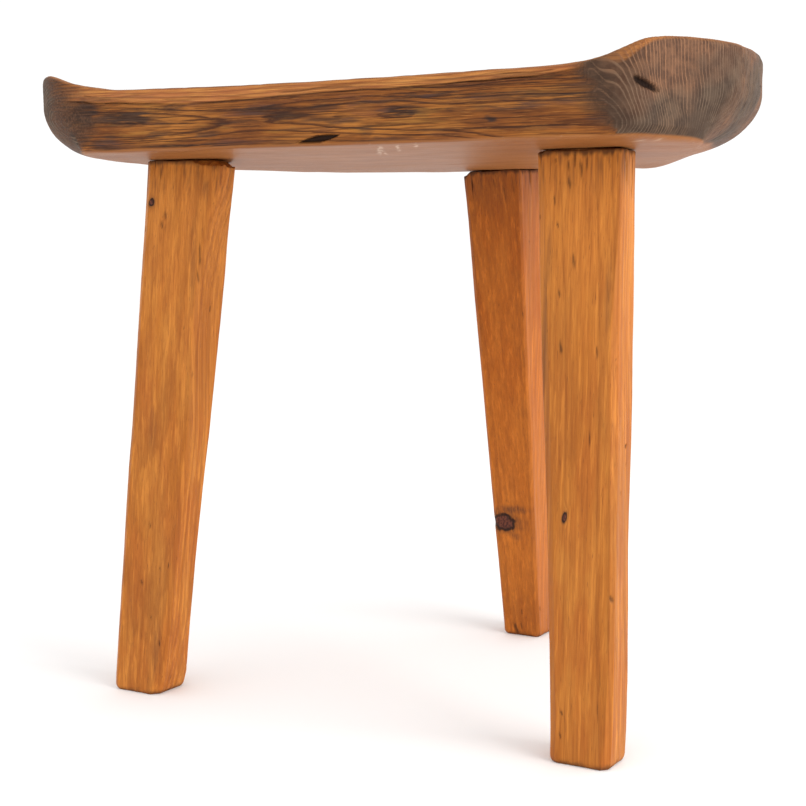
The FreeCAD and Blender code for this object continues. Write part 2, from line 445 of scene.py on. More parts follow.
def detail_seat(seat):
    p = coords(seat)
    n = normals(seat)
    x, y, z = p.T
    nx, ny, nz = n.T
    radial = []
    for name in LEG:
        q, d = leg_line(name)
        v = p - q
        radial.append(np.linalg.norm(v - (v @ d)[:, None] * d, axis=1))
    radial = np.min(radial, axis=0)
    in_bore = 1 - smooth(radial, HOLE_R + 0.3, HOLE_R + 3.0)
    on_top = smooth(nz, 0.55, 0.9)
    below = smooth(-nz, 0.55, 0.9)
    # at both ends the dark wood runs on round the hollow to the planed flat
    below = below * (1 - smooth(np.abs(x), 132, 158) * smooth(z + 1.6 * perlin(x / 16, y / 16, 0.6, 87), 301.4, 304.6))
    front = smooth(-ny, 0.72, 0.95) * (y < SEAT_YF + 12)
    torn_edge = 0.16 * perlin(x / 9.0, y / 9.0, z / 2.6, 85) + 0.10 * perlin(x / 4.0, y / 4.0, z / 1.1, 86)
    endg = smooth(np.hypot(nx, 0.15 * np.maximum(ny, 0)) + torn_edge, 0.20, 0.66)
    spread = corner_turn(x, z, pith_line(x)[1]) + 14.0 * torn_edge
    endg = np.maximum(endg, smooth(spread, 0.5, 7.0) * (y < -60)) * (1 - on_top) * (1 - below)
    rings = seat_rings(x, y, z)
    ridge = ring_profile(rings)

    # hand work: slow waves, shallow gouge scallops on the top, drawknife flats
    # along the hull
    disp = 0.34 * perlin(x / 46, y / 40, z / 30, 21) + 0.13 * perlin(x / 21, y / 13, z / 12, 22)
    cell = np.abs(perlin(x / 15.0, y / 24.0, 0.3, 31))
    disp = disp - on_top * 0.35 * (0.35 - cell)
    disp = disp + (1 - on_top) * (1 - front) * 0.22 * perlin(x / 22, y / 22, z / 7, 23)
    # weather: hard rings stand out of the washed end grain
    disp = disp + endg * 0.26 * (ridge - 0.5)
    disp = disp + front * 0.10 * (ridge - 0.5) + on_top * 0.09 * (ridge - 0.5) + below * 0.03 * (ridge - 0.5)
    # the open shake along the top of the front face, where a ring has let go
    zc = crack_z(x)
    live = smooth(x, -168, -150) * (1 - smooth(x, 126, 150)) * (0.45 + 0.55 * smooth(perlin(x / 24.0, 3.1, 0.2, 41), -0.3, 0.25))
    shake = np.exp(-((z - zc) / 0.42) ** 2) * live * (ny < -0.4)
    disp = disp - 0.75 * shake
    zc2 = zc + 2.6 + 0.9 * np.sin(x / 31.0)
    live2 = smooth(perlin(x / 34.0, 9.1, 0.7, 42), 0.0, 0.25) * (np.abs(x) < 150)
    shake2 = np.exp(-((z - zc2) / 0.35) ** 2) * live2 * (ny < -0.4)
    disp = disp - 0.3 * shake2
    # pitch pocket low on the front face
    px, pz = (x - 0.5) / 12.8, (z - 304.9 - 0.13 * (x - 0.5)) / 2.0
    lens = np.clip(1 - px ** 2 - (pz * (1 + 0.9 * px ** 2)) ** 2, 0, 1) * (ny < -0.3)
    disp = disp - 2.3 * np.sqrt(lens)
    # torn pocket in the end grain of the right end
    v = p - POCKET
    along = v @ POCKET_ALONG
    across = np.linalg.norm(v - along[:, None] * POCKET_ALONG, axis=1)
    wob = 0.45 * perlin(x / 2.2, y / 2.2, z / 2.2, 51)
    side = (v[:, 2] + 0.45 * along) > 0
    q2 = (along / 7.4) ** 2 + ((across + wob) / np.where(side, 1.7, 2.6)) ** 2
    torn = np.clip(1 - q2, 0, 1)
    disp = disp - 2.6 * np.sqrt(torn)
    # small seasoning checks that run in from the ends
    checks = np.zeros(len(p))
    for cy, cz, sgn, width, tilt in ((18, 322, 1, 0.45, -0.15), (-70, 318, -1, 0.5, 0.2), (-40, 331, 1, 0.4, 0.1),
                                     (40, 330, -1, 0.45, 0.0), (-5, 338, -1, 0.4, 0.1)):
        line = (z - cz) - tilt * (y - cy) + 0.5 * perlin(y / 5.0, z / 5.0, sgn, 61)
        reach = np.exp(-((y - cy) / 9.0) ** 2)
        checks = np.maximum(checks, np.exp(-(line / width) ** 2) * reach * (nx * sgn > 0.5))
    disp = disp - 0.6 * checks
    disp = disp * (1 - in_bore)
    set_coords(seat, p + n * disp[:, None])

    stain = np.zeros(len(p))
    wx = 6.0 * perlin(x / 14.0, z / 5.0, 0.4, 71) + 2.0 * perlin(x / 5.0, z / 1.6, 0.9, 72)
    wz = 1.3 * perlin(x / 16.0, z / 5.0, 5.4, 73) + 0.8 * perlin(x / 6.0, z / 1.6, 2.9, 74)
    for cx, cz, hx, hz, s in STAINS:
        d = np.hypot((x + wx - cx) / hx, (z + wz - cz) / hz)
        stain = np.maximum(stain, s * (1 - smooth(d, 0.50, 1.30)))
    stain = stain * (ny < -0.25) * (y < SEAT_YF + 30)
    streak = smooth(perlin(x / 70.0, 0.2, z / 1.5, 75), 0.10, 0.42) * smooth(perlin(x / 50.0, 4.2, z / 9.0, 76), -0.2, 0.2)
    stain = np.maximum(stain, 0.42 * streak * front)
    # painted shade: the shakes, pockets and checks are painted near black, with a dark joint line round each bore on
    # the top
    crack_shade_and_dark_marks = np.maximum.reduce([0.85 * shake, 0.6 * shake2, smooth(lens, 0.0, 0.35), smooth(torn, 0.0, 0.4), checks])
    bore_rim = np.exp(-np.maximum(radial - HOLE_R, 0) / 0.8)
    crack_shade_and_dark_marks = np.maximum(crack_shade_and_dark_marks, 0.75 * bore_rim * on_top)
    grey = fbm(x / 60, y / 40, z / 40, 81, 3)
    # grime worked into both front corners, and above it a painted highlight along the top edge of both ends
    nb = 5.0 * perlin(x / 30.0, y / 30.0, z / 5.0, 83) + 2.5 * perlin(x / 12.0, y / 12.0, z / 2.2, 84)
    right_edge = np.interp(z, [300, 304, 306, 313, 322, 329, 335, 350], [172, 166, 159, 153, 147, 143, 140, 140])
    left_edge = np.interp(z, [300, 306, 313, 320, 330, 336, 350], [-170, -156, -150, -150, -158, -166, -172])
    grime = np.maximum(smooth(x + nb, right_edge - 11, right_edge + 3), smooth(-(x + 1.6 * nb), -left_edge - 17, -left_edge + 8))
    grime = grime * (y < 20) * (1 - on_top)
    # painted highlight: a light band just under the top edge towards both ends
    width = 1.1 + 5.4 * np.exp(-((x - 161.0) / 9.0) ** 2)
    rim_highlight = smooth(z - top_z(x, y), -width - 0.8, -width + 1.2) * smooth(np.abs(x), 138, 160) * (1 - 0.6 * on_top)
    low = 1 - smooth(z + 2.4 * perlin(x / 22, y / 22, 0.1, 82) + 4.6 * smooth(np.abs(x), 136, 160), 302.0, 307.0)
    # pale scratches on the underside; the last entry is a painted highlight along the arris at the right front corner
    scratch_and_arris_highlight = np.zeros(len(p))
    for ax_, ay_, bx_, by_, w_ in ((31, -130, 8, -92, 1.0), (41, -131, 29, -108, 0.9), (53, -133, 45, -120, 0.8),
                                   (24, -118, 16, -98, 0.8), (158, -125, 171, -119, 1.0)):
        e = np.array([bx_ - ax_, by_ - ay_], float)
        t_ = np.clip(((x - ax_) * e[0] + (y - ay_) * e[1]) / (e @ e), 0, 1)
        far = np.hypot(x - ax_ - t_ * e[0] + 1.2 * perlin(x / 5.0, y / 5.0, 0.3, 88), y - ay_ - t_ * e[1])
        scratch_and_arris_highlight = np.maximum(scratch_and_arris_highlight, 1 - smooth(far, 0.4 * w_, 1.5 * w_))
    scratch_and_arris_highlight = scratch_and_arris_highlight * smooth(perlin(x / 3.0, y / 3.0, 0.2, 89), -0.25, 0.15) * (z < 304)
    seam = np.exp(-((x + nb - right_edge - 2.0) / 7.5) ** 2) * (y < -60) * (1 - on_top) * smooth(z, 302.0, 308.0)
    # weather blooms on the right end
    for bx, by, bz, wide_, high_, s in ((185.0, -111.0, 307.0, 11.0, 7.5, 0.95), (188.0, -109.0, 332.5, 13.0, 6.0, 0.55),
                                        (171.0, -131.0, 312.0, 6.0, 6.0, 0.35), (165.0, -134.0, 329.0, 9.0, 6.0, 0.45),
                                        (193.0, -100.0, 320.0, 8.0, 8.0, 0.35)):
        d = np.hypot(np.hypot(x - bx, y - by) / wide_, (z - bz) / high_) + 0.45 * perlin(x / 6, y / 6, z / 5, 95)
        seam = np.maximum(seam, s * (1 - smooth(d, 0.35, 1.4)))
    seam = seam * (1 - on_top) * (1 - below)
    # painted highlight mask: the strip above the shake on the front face, lighter as if lit from above
    upper_strip_highlight = smooth(z, zc + 0.1, zc + 1.0) * smooth(-ny, 0.2, 0.5) * (1 - smooth(np.abs(x), 146, 168))
    for key, value in (("ring", rings), ("endg", endg * (1 - 0.85 * low)), ("stain", stain), ("crack_shade_and_dark_marks", crack_shade_and_dark_marks),
                       ("under", np.maximum(below, low * (1 - front))), ("topm", on_top), ("front", front),
                       ("grey", grey), ("upper_strip_highlight", upper_strip_highlight), ("grime", grime * (1 - low)), ("rim_highlight", rim_highlight), ("seam", seam), ("scratch_and_arris_highlight", scratch_and_arris_highlight)):
        set_field(seat, key, value)
    finish_shading(seat, 48.0)


# ------------------------------------------------------------------ leg form
# Stations up each leg, in mm: z, left and right edge of the front face, the
# front face's y, depth of the right side before the back bevel, of the left
# side, whole depth, and the two small front bevels.

STATIONS = {
    "leg_front_left": [
        (0, -147.6, -119.0, -121.4, 24.0, 25.0, 31.0, 2.0, 4.5),
        (9, -147.6, -116.5, -120.7, 24.5, 25.5, 31.4, 1.8, 4.5),
        (39, -146.9, -112.5, -118.5, 20.5, 25.0, 31.4, 1.8, 2.6),
        (78, -145.4, -109.3, -115.6, 19.4, 25.0, 31.6, 2.0, 1.8),
        (126, -143.9, -104.6, -112.0, 18.6, 24.5, 31.8, 2.2, 1.6),
        (151, -142.8, -102.2, -110.1, 18.8, 24.0, 32.0, 2.2, 1.6),
        (198, -141.5, -102.0, -106.6, 22.8, 24.0, 32.0, 2.4, 1.8),
        (228, -140.6, -100.3, -104.4, 23.6, 23.5, 32.0, 2.4, 2.0),
        (257, -139.4, -95.8, -102.2, 19.6, 23.0, 32.0, 2.6, 2.0),
        (288, -138.6, -88.4, -99.9, 12.8, 22.0, 31.0, 2.8, 1.6),
        (301, -138.4, -86.4, -98.9, 11.2, 22.0, 30.0, 2.8, 1.6),
    ],
    "leg_front_right": [
        (0, 119.0, 148.6, -112.3, 21.6, 25.0, 30.5, 2.4, 3.6),
        (16, 118.9, 149.4, -111.7, 21.6, 25.0, 30.5, 2.8, 3.0),
        (65, 116.4, 149.0, -109.7, 19.4, 24.0, 29.6, 2.8, 1.8),
        (110, 113.9, 148.0, -107.9, 18.8, 23.5, 29.2, 3.0, 2.2),
        (159, 110.8, 147.0, -105.9, 20.2, 23.0, 29.0, 3.2, 3.2),
        (213, 107.3, 145.6, -103.7, 21.4, 22.5, 28.8, 3.2, 3.4),
        (240, 105.6, 145.5, -102.6, 19.9, 22.0, 28.6, 3.4, 2.0),
        (258, 104.6, 145.7, -101.9, 18.4, 22.0, 28.4, 3.4, 1.2),
        (287, 102.9, 145.2, -100.7, 17.8, 21.5, 28.2, 3.4, 1.0),
        (302, 102.2, 144.9, -100.1, 17.3, 21.0, 28.0, 3.4, 1.0),
    ],
    "leg_rear": [
        (0, -11.4, 12.4, 109.0, 24.5, 25.0, 30.6, 1.4, 1.8),
        (9, -11.4, 12.6, 107.6, 24.5, 25.0, 31.0, 1.4, 1.8),
        (40, -12.3, 13.0, 102.0, 25.0, 25.0, 31.2, 1.5, 1.6),
        (93, -13.6, 14.2, 92.4, 26.0, 24.5, 31.6, 1.6, 1.4),
        (139, -14.8, 15.2, 84.2, 27.0, 24.0, 32.0, 1.6, 1.4),
        (158, -15.1, 15.4, 80.7, 27.5, 24.0, 32.2, 1.8, 1.4),
        (220, -16.4, 16.8, 69.5, 28.5, 23.0, 33.0, 1.8, 1.4),
        (257, -17.0, 17.8, 62.9, 29.5, 23.0, 33.6, 1.8, 1.4),
        (293, -17.7, 19.0, 56.5, 30.0, 22.5, 34.0, 1.8, 1.4),
        (302, -17.8, 19.2, 54.9, 30.0, 22.5, 34.0, 1.8, 1.4),
    ],
}
KNOTS = {
    # x, z on the front face, half width, half height, lean, strength
    "leg_front_left": [(-134.6, 276.5, 1.9, 2.2, 0.2, 0.9)],
    "leg_front_right": [(122.2, 121.7, 1.3, 2.4, 0.1, 0.95)],
    "leg_rear": [(-7.2, 76.5, 8.0, 5.6, -0.12, 1.0)],
}
MARKS = {
    # small dark dashes and dents on the front face: x, z, half width, half height
    "leg_front_left": [(-124.4, 269.1, 0.8, 3.6), (-126.5, 264.0, 0.6, 2.4), (-99.6, 247.0, 0.6, 7.0),
                       (-100.6, 236.0, 0.5, 4.0), (-131.5, 62.8, 0.8, 1.8), (-119.0, 72.0, 0.5, 1.2),
                       (-127.0, 96.0, 0.5, 2.0), (-124.0, 44.0, 0.5, 1.5), (-117.5, 30.0, 0.5, 2.0)],
    "leg_front_right": [(122.4, 246.3, 0.75, 4.2), (115.4, 230.4, 0.65, 2.8), (117.2, 203.8, 0.8, 4.0),
                        (136.0, 202.6, 0.55, 3.6), (140.4, 232.0, 0.7, 9.0, 0.28), (141.6, 219.0, 0.6, 6.0, 0.25),
                        (123.9, 25.5, 0.8, 1.6), (123.5, 14.5, 0.7, 2.0), (147.6, 84.6, 1.1, 2.2),
                        (143.2, 46.0, 0.45, 9.0, 0.35), (142.8, 28.0, 0.4, 6.0, 0.35), (119.0, 283.0, 0.6, 4.0),
                        (124.8, 290.0, 0.7, 5.5), (118.4, 291.0, 0.6, 3.0), (121.6, 294.0, 0.5, 4.5), (111.5, 275.0, 0.5, 2.5),
                        (127.8, 293.0, 0.6, 5.0), (113.6, 263.0, 0.6, 1.4), (134.0, 160.0, 0.4, 5.0)],
    "leg_rear": [(-3.6, 5.0, 1.7, 5.0), (0.4, 7.0, 0.6, 3.0), (14.6, 262.0, 0.6, 12.0, 0.3), (14.2, 290.0, 0.7, 7.0, 0.4),
                 (8.0, 287.0, 0.5, 5.0, 0.6), (2.0, 291.0, 0.5, 4.0, 0.6), (14.4, 225.0, 0.5, 10.0, 0.25),
                 (13.6, 190.0, 0.5, 14.0, 0.25)],
}
SMOKE = {
    # dark haze in the wood round a knot: x, z, half width, half height, strength
    "leg_rear": [(-2.0, 292.0, 24.0, 26.0, 0.30), (1.0, 85.5, 13.0, 3.6, 0.75), (6.0, 77.0, 6.0, 7.0, 0.35), (1.0, 67.5, 5.0, 3.0, 0.5)],
    "leg_front_right": [(108.2, 205.0, 2.2, 42.0, 0.50), (109.5, 250.0, 2.0, 26.0, 0.35), (140.8, 228.0, 2.4, 26.0, 0.32)],
    "leg_front_left": [(-104.0, 240.0, 3.0, 30.0, 0.25), (-119.0, 25.0, 4.0, 22.0, 0.35), (-128.0, 150.0, 4.0, 16.0, 0.25)],
}
LEG_PITH = {
    # pith offset from the middle of the foot and of the top, ring width
    "leg_front_left": ((6.0, 46.0), (-10.0, 30.0), 3.4),
    "leg_front_right": ((52.0, 14.0), (46.0, 20.0), 2.5),
    "leg_rear": ((-46.0, 22.0), (-40.0, 34.0), 2.7),
}


def perimeter(xl, xr, yf, dr, dl, dd, cl, cr, per_edge):
    """Eight-cornered hewn section, anticlockwise, the points bunched at the arrises."""
    yb = yf + dd
    br = np.clip(yb - (yf + dr), 2.0, None) * 0.9
    bl = np.clip(yb - (yf + dl), 2.0, None) * 0.9
    # the stations give the outline as seen, so the bevel's own shift is put back
    xl, xr = xl - 0.5 * cl - 0.3, xr + 0.35
    c = [(xl + 1.45 * cl, yf), (xr - cr * 0.9, yf), (xr, yf + cr), (xr + 0.25, yf + dr), (xr - br, yb),
         (xl + bl, yb), (xl, yf + dl), (xl, yf + 0.9 * cl)]
    out = []
    for i in range(8):
        p, q = np.array(c[i]), np.array(c[(i + 1) % 8])
        m = per_edge[i]
        t = np.arange(m) / m
        t = t - 0.075 * np.sin(2 * np.pi * t)
        out.append(p + (q - p) * t[:, None])
    return np.concatenate(out)


PER_EDGE = [64, 8, 34, 16, 36, 16, 34, 8]


def shoulder_z(name, x, y, worn=1.0):
    gap = 0.55 + 0.35 * perlin(x / 7.0, y / 7.0, 0.7, 91) + 0.25 * perlin(x / 2.3, y / 2.3, 0.2, 92)
    if name == "leg_rear":
        gap = gap * (1 - 0.7 * smooth(x, 2.0, 12.0)) + 2.6 * smooth(-x, 12.0, 18.0)
    if name == "leg_front_left":
        gap = gap + 3.4 * smooth(x, -114.0, -90.0) * (1 - smooth(y, -82.0, -68.0))
        gap = gap + 0.9 * perlin(x / 1.7, y / 3.0, 0.6, 93) * smooth(x, -125.0, -105.0)
    if name == "leg_front_right":
        gap = gap + 1.6 * (1 - smooth(x, 102.0, 106.0)) * (1 - smooth(y, -100.0, -93.0)) + 0.5 * (1 - smooth(y, -101.0, -96.0))
    rise = 0.0
    if name == "leg_rear":
        # the hollow under the back edge has begun to climb here
        s = np.clip(1.0 - (SEAT_YB - y) / 43.0, 0.0, 0.95)
        rise = (329.0 - under_z(x, y)) * (1.0 - np.sqrt(1.0 - s * s))
    return under_z(x, y) + rise - np.maximum(worn * gap + (1 - worn) * 0.3, 0.15)


def build_leg(name, node):
    st = np.array(STATIONS[name])
    zs = np.concatenate([[0.0, 0.25, 0.8, 1.6, 2.6, 3.8], np.arange(5.0, 296.0, 1.05),
                         np.linspace(296.0, 298.6, 6)])
    hi = 300.0
    rings = []
    for z in zs:
        v = [np.interp(z, st[:, 0], st[:, k]) for k in range(1, 9)]
        near = [soft_interp(z, st[:, 0], st[:, k], 6.0) for k in range(1, 9)]
        v = near if 12 < z < 285 else [a * 0.5 + b * 0.5 for a, b in zip(v, near)]
        ring = perimeter(*v, PER_EDGE)
        for _ in range(3):
            ring = 0.5 * ring + 0.25 * (np.roll(ring, 1, 0) + np.roll(ring, -1, 0))
        if z < 3.8:
            c = ring.mean(0)
            shrink = 2.3 * (1 - math.sqrt(max(0.0, 1 - (1 - z / 3.8) ** 2)))
            d = c - ring
            ring = ring + d / np.linalg.norm(d, axis=1)[:, None] * shrink
        rings.append(np.c_[ring, np.full(len(ring), z)])
    # last body rings follow the underside of the seat, less a thin dark gap
    body = []
    z_top = shoulder_z(name, rings[-1][:, 0], rings[-1][:, 1]) - 0.5
    z0 = zs[-7]
    for r in rings:
        z = r[0, 2]
        if z > 270.0:
            t = (z - 270.0) / (zs[-1] - 270.0)
            r = r.copy()
            r[:, 2] = 270.0 + (z_top - 270.0) * t
        body.append(r)
    last = body[-1]
    c = last[:, :2].mean(0)
    for inset, up in ((0.25, 0.3), (0.7, 0.5)):
        d = c - last[:, :2]
        q = last[:, :2] + d / np.linalg.norm(d, axis=1)[:, None] * inset
        body.append(np.c_[q, z_top + up])
    # step in over the shoulder to the round tenon
    p, d = leg_line(name)
    thin, wide = frame_of(d)
    def on_axis(z):
        return p + d * ((z - p[2]) / d[2])
    base = body[-1]
    ax = on_axis(300.0)
    ang = np.arctan2(base[:, 1] - ax[1], base[:, 0] - ax[0])
    circle = np.c_[np.cos(ang), np.sin(ang)]
    def tenon_ring(z, radius):
        a = on_axis(z)
        q = a[:2] + circle * radius
        return np.c_[q, np.full(len(q), z)]
    target = on_axis(300.0)[:2] + circle * TENON_R
    # the shoulder has crushed and torn only along its edge; further in it bears
    for t, w in ((0.08, 0.9), (0.18, 0.55), (0.30, 0.15), (0.45, 0.0), (0.7, 0.0), (1.0, 0.0)):
        q = base[:, :2] * (1 - t) + target * t
        body.append(np.c_[q, shoulder_z(name, q[:, 0], q[:, 1], w) - 0.02])
    for z in np.linspace(301.5, 325.0, 12):
        body.append(tenon_ring(z, TENON_R))
    head = on_axis(335.0)
    crown = float(top_z(np.array(head[0]), np.array(head[1])))
    for back in (5.0, 2.5, 1.2, 0.7):
        q = tenon_ring(crown, TENON_R)
        q[:, 2] = top_z(q[:, 0], q[:, 1]) - back
        q[:, :2] -= (d[:2] / d[2]) * back
        body.append(q)
    for radius, up in ((TENON_R - 0.15, 0.05), (TENON_R - 0.6, 0.35)) + tuple((r, 0.42) for r in np.linspace(TENON_R - 1.2, 0.4, 16)):
        q = tenon_ring(crown, radius)
        q[:, 2] = top_z(q[:, 0], q[:, 1]) + up
        body.append(q)
    foot_mid = np.array([*body[0][:, :2].mean(0), 0.0])
    inner = []
    for s in (0.03, 0.25, 0.5, 0.75, 0.92):
        q = foot_mid[:2] + (body[0][:, :2] - foot_mid[:2]) * s
        inner.append(np.c_[q, np.zeros(len(q))])
    a = on_axis(crown)
    stack = inner + body
    top_mid = (a[0], a[1], float(top_z(np.array(a[0]), np.array(a[1]))) + 0.42)
    leg = grid_mesh(node, stack, foot_mid, top_mid)
    slot_cut = wedge_form("kerf_" + node, name, 0.04, 4.0)
    cut(leg, [slot_cut])
    return leg


def wedge_form(label, name, grow, extra):
    """The thin wedge, lens-ended in plan, driven down the middle of the tenon."""
    p, d = leg_line(name)
    thin, wide = frame_of(d)
    head = p + d * ((335.0 - p[2]) / d[2])
    crown = p + d * ((float(top_z(np.array(head[0]), np.array(head[1]))) - p[2]) / d[2])
    n_side, n_end = 40, 12
    rings = []
    depths = np.concatenate([[-extra], [0.0] if extra else [], np.linspace(0.4, 30.0, 24)])
    for s in depths:
        half = (5.0 - (4.0 / 30.0) * s) / 2 + grow
        R = TENON_R - 0.05 + (grow and 2.0)
        w = math.sqrt(R * R - half * half)
        u = np.linspace(-w, w, n_side)
        a0 = math.asin(half / R)
        e = np.linspace(-a0, a0, n_end + 2)[1:-1]
        ptsu = np.concatenate([u, R * np.cos(e), u[::-1], -R * np.cos(e)])
        ptsv = np.concatenate([np.full(n_side, -half), R * np.sin(e), np.full(n_side, half), -R * np.sin(e)])
        ring = crown - d * s + ptsu[:, None] * wide + ptsv[:, None] * thin
        rings.append(ring)
    rings = rings[::-1]
    if extra == 0:
        top = rings[-1]
        mid = top.mean(0)
        rings[-1] = np.c_[top[:, :2], top_z(top[:, 0], top[:, 1]) + 0.1]
        for s, up in ((0.985, 0.32), (0.94, 0.5), (0.8, 0.55), (0.55, 0.52), (0.3, 0.5), (0.1, 0.5)):
            q = mid + (top - mid) * s
            rings.append(np.c_[q[:, :2], top_z(q[:, 0], q[:, 1]) + up])
        start, end = rings[0].mean(0), rings[-1].mean(0)
    else:
        start, end = rings[0].mean(0), rings[-1].mean(0)
    # keep the winding outward whichever way thin and wide turn
    a, b, c = rings[0][0], rings[0][1], rings[0].mean(0)
    turn = np.dot(np.cross(a - c, b - c), d)
    if turn < 0:
        rings = [r[::-1] for r in rings]
    return grid_mesh(label, rings, start, end)


def detail_leg(leg, name, seed):
    p = coords(leg)
    n = normals(leg)
    x, y, z = p.T
    f, t = LEG[name]["foot"], LEG[name]["top"]
    u = z / 300.0
    cx, cy = f[0] + (t[0] - f[0]) * u, f[1] + (t[1] - f[1]) * u
    lx, ly = x - cx, y - cy
    (ax, ay), (bx, by), width = LEG_PITH[name]
    px, py = ax + (bx - ax) * u, ay + (by - ay) * u
    wx = 2.4 * perlin(lx / 30, ly / 30, z / 120, seed) + 0.5 * perlin(lx / 7, ly / 7, z / 60, seed + 1)
    wy = 2.4 * perlin(lx / 30, ly / 30, z / 120, seed + 2) + 0.5 * perlin(lx / 7, ly / 7, z / 60, seed + 3)
    r = np.hypot(lx - px + wx, ly - py + wy)
    rings = r / width + 0.4 * perlin(r / 8.0, 0.3, 0.6, seed + 4)
    tenon = smooth(z, 300.5, 301.5)
    body = 1 - tenon
    knot = np.full(len(p), 3.0)
    for kx, kz, hx, hz, lean, s in KNOTS[name]:
        dx, dz = x - kx, z - kz
        wob = 0.25 * perlin(x / 3, y / 3, z / 3, seed + 6)
        depth = np.clip(y - (cy - 14.0), 0, 40) / 22.0
        d = np.hypot((dx - lean * dz) / hx, dz / hz) * (1 + wob) + depth
        knot = np.minimum(knot, d)
        side = np.sign(lx - px + 1e-6)
        rings = rings + 1.5 * s * np.exp(-(d / 1.8) ** 2)
    ridge = ring_profile(rings)

    disp = 0.34 * perlin(lx / 16, ly / 16, z / 70, seed + 10) + 0.16 * perlin(lx / 6, ly / 6, z / 28, seed + 11)
    disp = disp + 0.05 * (ridge - 0.5)
    # chatter of the knife: short shallow flats across the grain
    disp = disp - 0.10 * np.abs(perlin(lx / 12, ly / 12, z / 11.0, seed + 12))
    # seasoning checks at the top, small nicks, and a rubbed foot
    fine = perlin(lx / 1.1, ly / 1.1, z / 26.0, seed + 13)
    split = smooth(fine, 0.42, 0.62) * smooth(z, 262.0, 296.0) * smooth(perlin(lx / 9, ly / 9, z / 60, seed + 14), -0.05, 0.25)
    disp = disp - 0.7 * split
    nick = smooth(perlin(lx / 1.6, ly / 1.6, z / 5.5, seed + 15), 0.60, 0.72) * smooth(perlin(lx / 12, ly / 12, z / 40, seed + 16), 0.05, 0.3)
    disp = disp - 0.30 * nick
    facing = smooth(-normals(leg)[:, 1], 0.35, 0.75)
    mark = np.zeros(len(p))
    for mx, mz, hx, hz, *s in MARKS[name]:
        wob = 0.35 * perlin(x / 1.5, 0.3, z / 3.0, seed + 7)
        d = np.hypot((x - mx + 0.5 * hx * np.sin((z - mz) / hz * 2)) / (1.05 * hx), (z - mz) / hz) + wob
        mark = np.maximum(mark, (s[0] if s else 0.85) * (1 - smooth(d, 0.35, 1.15)) * facing)
    disp = disp - 0.5 * mark
    smoke = np.zeros(len(p))
    for mx, mz, hx, hz, s in SMOKE.get(name, []):
        wob = 0.30 * perlin(x / 3.0, 0.9, z / 6.0, seed + 8)
        d = np.hypot((x - mx) / hx, (z - mz) / hz) * (1 + wob)
        smoke = np.maximum(smoke, s * (1 - smooth(d, 0.25, 1.1)) * (y < cy + 2))
    core = 1 - smooth(knot, 0.5, 1.0)
    crackk = np.exp(-((knot - 0.85) / 0.14) ** 2)
    disp = disp + 0.2 * core - 0.35 * crackk
    disp = disp * body * smooth(z, 0.0, 1.5)
    q = p + n * disp[:, None]
    q[:, 2] = np.where(z < 0.02, 0.0, np.maximum(q[:, 2], 0.0))
    set_coords(leg, q)

    # darker over the bottom few mm of the foot; painted shade in a band just under the shoulder, where the seat
    # overhangs
    foot_dark_shoulder_shade = 0.75 * (1 - smooth(z + 1.8 * perlin(lx / 4, ly / 4, z / 4, seed + 20), 0.3, 3.4))
    top_edge = shoulder_z(name, x, y) - z
    foot_dark_shoulder_shade = np.maximum(foot_dark_shoulder_shade, (1 - smooth(top_edge + 2.2 * perlin(lx / 1.8, ly / 1.8, z / 12, seed + 21), 0.3, 3.0)) * body)
    if name == "leg_front_left":
        foot_dark_shoulder_shade = foot_dark_shoulder_shade * np.where(z > 250.0, 1 - 0.65 * smooth(x, -114.0, -98.0), 1.0)
    torn = smooth(perlin(lx / 1.3, ly / 1.3, z / 18.0, seed + 22), 0.12, 0.42) * (1 - smooth(top_edge, 6.0, 26.0)) * body
    # painted shade in the checks, nicks and the crack round each knot, together with the real dark marks
    crack_shade_and_dark_marks = np.maximum.reduce([split, 0.8 * nick, 0.85 * crackk * body, 0.9 * mark * body])
    st = np.array(STATIONS[name])
    ex = np.interp(z, st[:, 0], st[:, 2]) + 0.3
    ey = np.interp(z, st[:, 0], st[:, 3]) + 0.6
    # painted shade on the left front bevel, which faces away from the key light
    arris = np.exp(-((np.hypot(x - ex, y - ey)) / 1.5) ** 2) * body
    set_field(leg, "arris", arris * (0.5 + 0.5 * smooth(perlin(z / 22.0, 0.4, 0.1, seed + 23), -0.3, 0.3)))
    set_field(leg, "smoke", np.maximum(smoke, 0.55 * torn))
    # painted light: the front legs lighter toward the top under the seat, the rear leg lower down
    set_field(leg, "painted_light_lift", smooth(z, 165.0, 285.0) if name != "leg_rear" else 0.8 * smooth(z, 240.0, 90.0) * smooth(z, 20.0, 70.0))
    set_field(leg, "ring", rings)
    set_field(leg, "knot", knot)
    set_field(leg, "crack_shade_and_dark_marks", crack_shade_and_dark_marks)
    set_field(leg, "foot_dark_shoulder_shade", foot_dark_shoulder_shade)
    set_field(leg, "tenon", tenon)
    blotch = fbm(lx / 22, ly / 22, z / 90, seed + 30, 3)
    set_field(leg, "blotch", blotch)
    finish_shading(leg, 40.0)


# ------------------------------------------------------------------ node help


